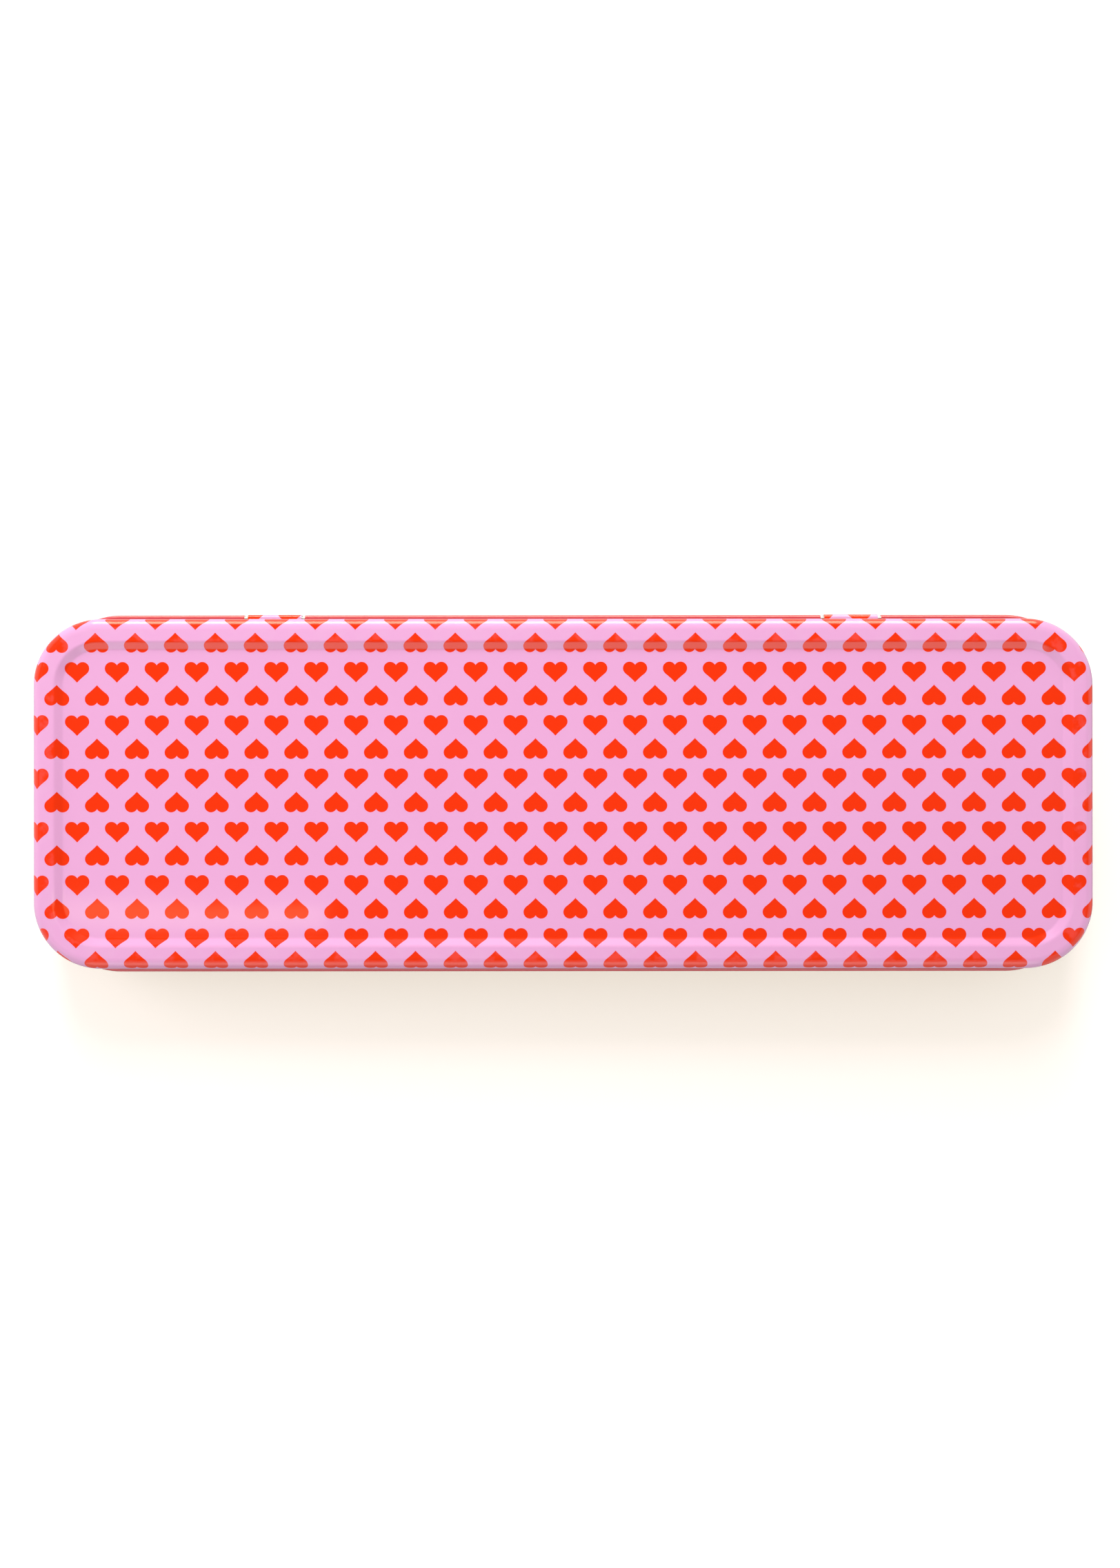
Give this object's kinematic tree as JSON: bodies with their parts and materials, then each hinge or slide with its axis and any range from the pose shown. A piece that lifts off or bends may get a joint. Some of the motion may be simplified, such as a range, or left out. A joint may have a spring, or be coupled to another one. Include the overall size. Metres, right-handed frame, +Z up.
{
  "type": "pencil box",
  "caption": "Slim hinged tinplate pencil box with rounded corners, a recessed underside, rolled rims and a lid that folds right back on wire hinges in its hem.",
  "frame": {"origin": "middle of the foot, the flat ring round the underside that the closed box stands on", "axes": "+X along the length, +Y towards the hinge, +Z up through the closed lid"},
  "size_m": [0.2002, 0.0691, 0.0209],
  "materials": {
    "printed_pink_enamel": "glossy printed enamel, pink with small orange-red hearts, bare tinplate inside",
    "red_enamel": "glossy plain red enamel on both faces, because the rolled hem shows the inner one",
    "hinge_steel": "drawn steel wire"
  },
  "bodies": {
    "base": {"base_tray": "printed_pink_enamel"},
    "lid": {"lid": "red_enamel", "hinge_wire_left": "hinge_steel", "hinge_wire_right": "hinge_steel"}
  },
  "joints": [
    {"name": "lid_hinge", "type": "hinge", "parent": "base", "child": "lid", "pos_m": [0, 0.03373, 0.0128], "axis": [-1, 0, 0], "range_deg": [0, 180]}
  ]
}
